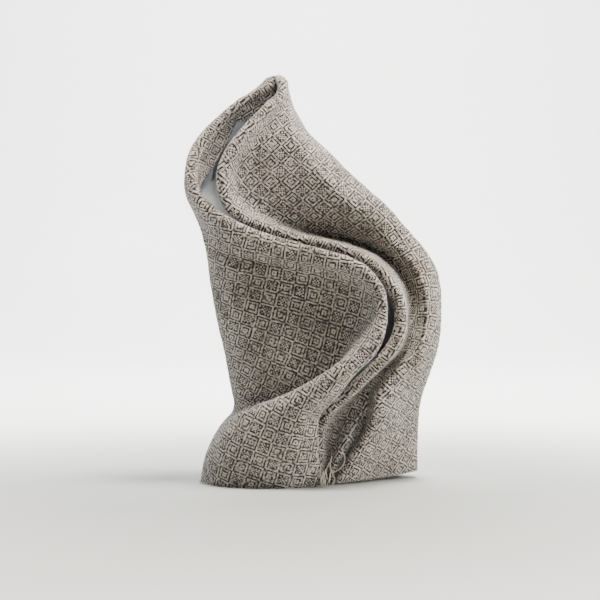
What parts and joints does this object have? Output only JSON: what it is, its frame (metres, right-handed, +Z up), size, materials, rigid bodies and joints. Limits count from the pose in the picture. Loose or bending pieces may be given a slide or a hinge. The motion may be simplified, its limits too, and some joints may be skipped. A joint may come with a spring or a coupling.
{
  "type": "pocket square",
  "caption": "Patterned jacquard pocket square with turned-in edges and a plain grey lining, rolled into a standing cornet with a slit that winds around its front.",
  "frame": {"origin": "middle of the bounding box, at the foot", "axes": "+Z up to the tip, +X to the viewer's right, +Y away from the viewer. The slit faces -Y."},
  "size_m": [0.1088, 0.0656, 0.1704],
  "materials": {
    "jacquard_cloth": "matte woven jacquard in greige and charcoal yarn",
    "lining_cloth": "smooth matte plain weave, mid grey"
  },
  "bodies": {
    "root": {"face_cloth": "jacquard_cloth", "lining": "lining_cloth"}
  },
  "joints": []
}
